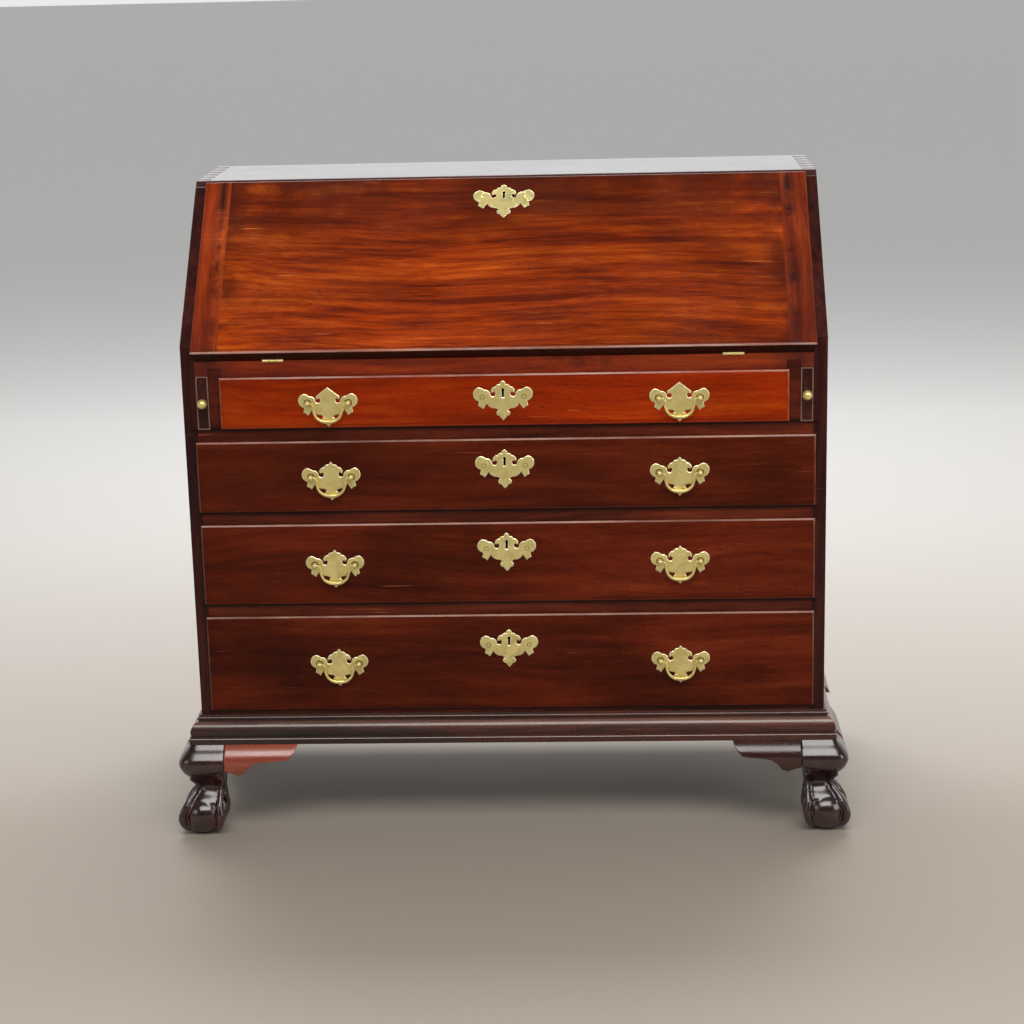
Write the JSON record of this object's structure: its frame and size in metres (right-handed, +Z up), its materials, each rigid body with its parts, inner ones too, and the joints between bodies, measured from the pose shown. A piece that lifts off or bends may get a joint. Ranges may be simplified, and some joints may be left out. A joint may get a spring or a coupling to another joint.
{
  "type": "slant-front secretary desk",
  "caption": "Slant-front secretary desk: a fall opens on pull-out supports to a fitted gallery, over graduated lipped drawers with brass bail pulls, on ball-and-claw feet.",
  "frame": {"origin": "on the floor, under the middle of the desk's bounding box", "axes": "+Z up, -Y out of the drawer fronts, +X to the right of someone facing the desk"},
  "size_m": [1.128, 0.514, 1.07],
  "materials": {
    "mahogany_dark": "aged french polish, very dark",
    "mahogany_red": "aged french polish",
    "mahogany_light": "polished, faded to orange red",
    "pine": "bare, planed",
    "brass": "rubbed, slightly worn",
    "steel": "dull"
  },
  "bodies": {
    "case": {"side_left": "mahogany_dark", "side_right": "mahogany_dark", "top_board": "mahogany_dark", "bottom_board": "mahogany_dark", "drawer_rails": "mahogany_dark", "hinge_rail": "mahogany_light", "writing_board": "mahogany_red", "loper_dividers": "mahogany_dark", "drawer_runners": "pine", "back_boards": "pine", "base_moulding_front": "mahogany_dark", "base_moulding_left": "mahogany_dark", "base_moulding_right": "mahogany_dark", "foot_front_left": "mahogany_dark", "foot_front_right": "mahogany_dark", "foot_back_left": "mahogany_dark", "foot_back_right": "mahogany_dark", "bracket_front_left": "mahogany_light", "bracket_front_right": "mahogany_dark", "side_brackets_left": "mahogany_dark", "side_brackets_right": "mahogany_dark", "hinge_leaves_case": "brass", "hinge_pins": "steel", "gallery_shelf": "mahogany_red", "gallery_partitions": "mahogany_red", "gallery_valances": "mahogany_red"},
    "fall": {"lid_panel": "mahogany_light", "lid_end_left": "mahogany_light", "lid_end_right": "mahogany_light", "lid_escutcheon": "brass", "lid_lock": "steel", "hinge_leaves_lid": "brass"},
    "loper_left": {"loper_left": "mahogany_dark", "loper_knob_left": "brass"},
    "loper_right": {"loper_right": "mahogany_dark", "loper_knob_right": "brass"},
    "drawer_1": {"drawer_1_front": "mahogany_light", "drawer_1_box": "pine", "drawer_1_brasses": "brass"},
    "drawer_1_bail_left": {"drawer_1_bail_left": "brass"},
    "drawer_1_bail_right": {"drawer_1_bail_right": "brass"},
    "drawer_2": {"drawer_2_front": "mahogany_red", "drawer_2_box": "pine", "drawer_2_brasses": "brass"},
    "drawer_2_bail_left": {"drawer_2_bail_left": "brass"},
    "drawer_2_bail_right": {"drawer_2_bail_right": "brass"},
    "drawer_3": {"drawer_3_front": "mahogany_red", "drawer_3_box": "pine", "drawer_3_brasses": "brass"},
    "drawer_3_bail_left": {"drawer_3_bail_left": "brass"},
    "drawer_3_bail_right": {"drawer_3_bail_right": "brass"},
    "drawer_4": {"drawer_4_front": "mahogany_red", "drawer_4_box": "pine", "drawer_4_brasses": "brass"},
    "drawer_4_bail_left": {"drawer_4_bail_left": "brass"},
    "drawer_4_bail_right": {"drawer_4_bail_right": "brass"},
    "gallery_drawer_1": {"gallery_drawer_1": "mahogany_red"},
    "gallery_drawer_2": {"gallery_drawer_2": "mahogany_red"},
    "gallery_drawer_3": {"gallery_drawer_3": "mahogany_red"},
    "gallery_drawer_4": {"gallery_drawer_4": "mahogany_red"}
  },
  "joints": [
    {"name": "fall_hinge", "type": "hinge", "parent": "case", "child": "fall", "pos_m": [0, -0.213, 0.806], "axis": [1, 0, 0], "range_deg": [0, 135]},
    {"name": "loper_left_slide", "type": "slide", "parent": "case", "child": "loper_left", "axis": [0, -1, 0], "range_m": [0, 0.3]},
    {"name": "loper_right_slide", "type": "slide", "parent": "case", "child": "loper_right", "axis": [0, -1, 0], "range_m": [0, 0.3]},
    {"name": "drawer_1_slide", "type": "slide", "parent": "case", "child": "drawer_1", "axis": [0, -1, 0], "range_m": [0, 0.36]},
    {"name": "drawer_1_bail_left_swing", "type": "hinge", "parent": "drawer_1", "child": "drawer_1_bail_left", "pos_m": [-0.283, -0.2286, 0.737], "axis": [-1, 0, 0], "range_deg": [0, 100]},
    {"name": "drawer_1_bail_right_swing", "type": "hinge", "parent": "drawer_1", "child": "drawer_1_bail_right", "pos_m": [0.283, -0.2286, 0.737], "axis": [-1, 0, 0], "range_deg": [0, 100]},
    {"name": "drawer_2_slide", "type": "slide", "parent": "case", "child": "drawer_2", "axis": [0, -1, 0], "range_m": [0, 0.36]},
    {"name": "drawer_2_bail_left_swing", "type": "hinge", "parent": "drawer_2", "child": "drawer_2_bail_left", "pos_m": [-0.283, -0.2286, 0.61385], "axis": [-1, 0, 0], "range_deg": [0, 100]},
    {"name": "drawer_2_bail_right_swing", "type": "hinge", "parent": "drawer_2", "child": "drawer_2_bail_right", "pos_m": [0.283, -0.2286, 0.61385], "axis": [-1, 0, 0], "range_deg": [0, 100]},
    {"name": "drawer_3_slide", "type": "slide", "parent": "case", "child": "drawer_3", "axis": [0, -1, 0], "range_m": [0, 0.36]},
    {"name": "drawer_3_bail_left_swing", "type": "hinge", "parent": "drawer_3", "child": "drawer_3_bail_left", "pos_m": [-0.283, -0.2286, 0.4653], "axis": [-1, 0, 0], "range_deg": [0, 100]},
    {"name": "drawer_3_bail_right_swing", "type": "hinge", "parent": "drawer_3", "child": "drawer_3_bail_right", "pos_m": [0.283, -0.2286, 0.4653], "axis": [-1, 0, 0], "range_deg": [0, 100]},
    {"name": "drawer_4_slide", "type": "slide", "parent": "case", "child": "drawer_4", "axis": [0, -1, 0], "range_m": [0, 0.36]},
    {"name": "drawer_4_bail_left_swing", "type": "hinge", "parent": "drawer_4", "child": "drawer_4_bail_left", "pos_m": [-0.283, -0.2286, 0.29425], "axis": [-1, 0, 0], "range_deg": [0, 100]},
    {"name": "drawer_4_bail_right_swing", "type": "hinge", "parent": "drawer_4", "child": "drawer_4_bail_right", "pos_m": [0.283, -0.2286, 0.29425], "axis": [-1, 0, 0], "range_deg": [0, 100]},
    {"name": "gallery_drawer_1_slide", "type": "slide", "parent": "case", "child": "gallery_drawer_1", "axis": [0, -1, 0], "range_m": [0, 0.15]},
    {"name": "gallery_drawer_2_slide", "type": "slide", "parent": "case", "child": "gallery_drawer_2", "axis": [0, -1, 0], "range_m": [0, 0.15]},
    {"name": "gallery_drawer_3_slide", "type": "slide", "parent": "case", "child": "gallery_drawer_3", "axis": [0, -1, 0], "range_m": [0, 0.15]},
    {"name": "gallery_drawer_4_slide", "type": "slide", "parent": "case", "child": "gallery_drawer_4", "axis": [0, -1, 0], "range_m": [0, 0.15]}
  ]
}
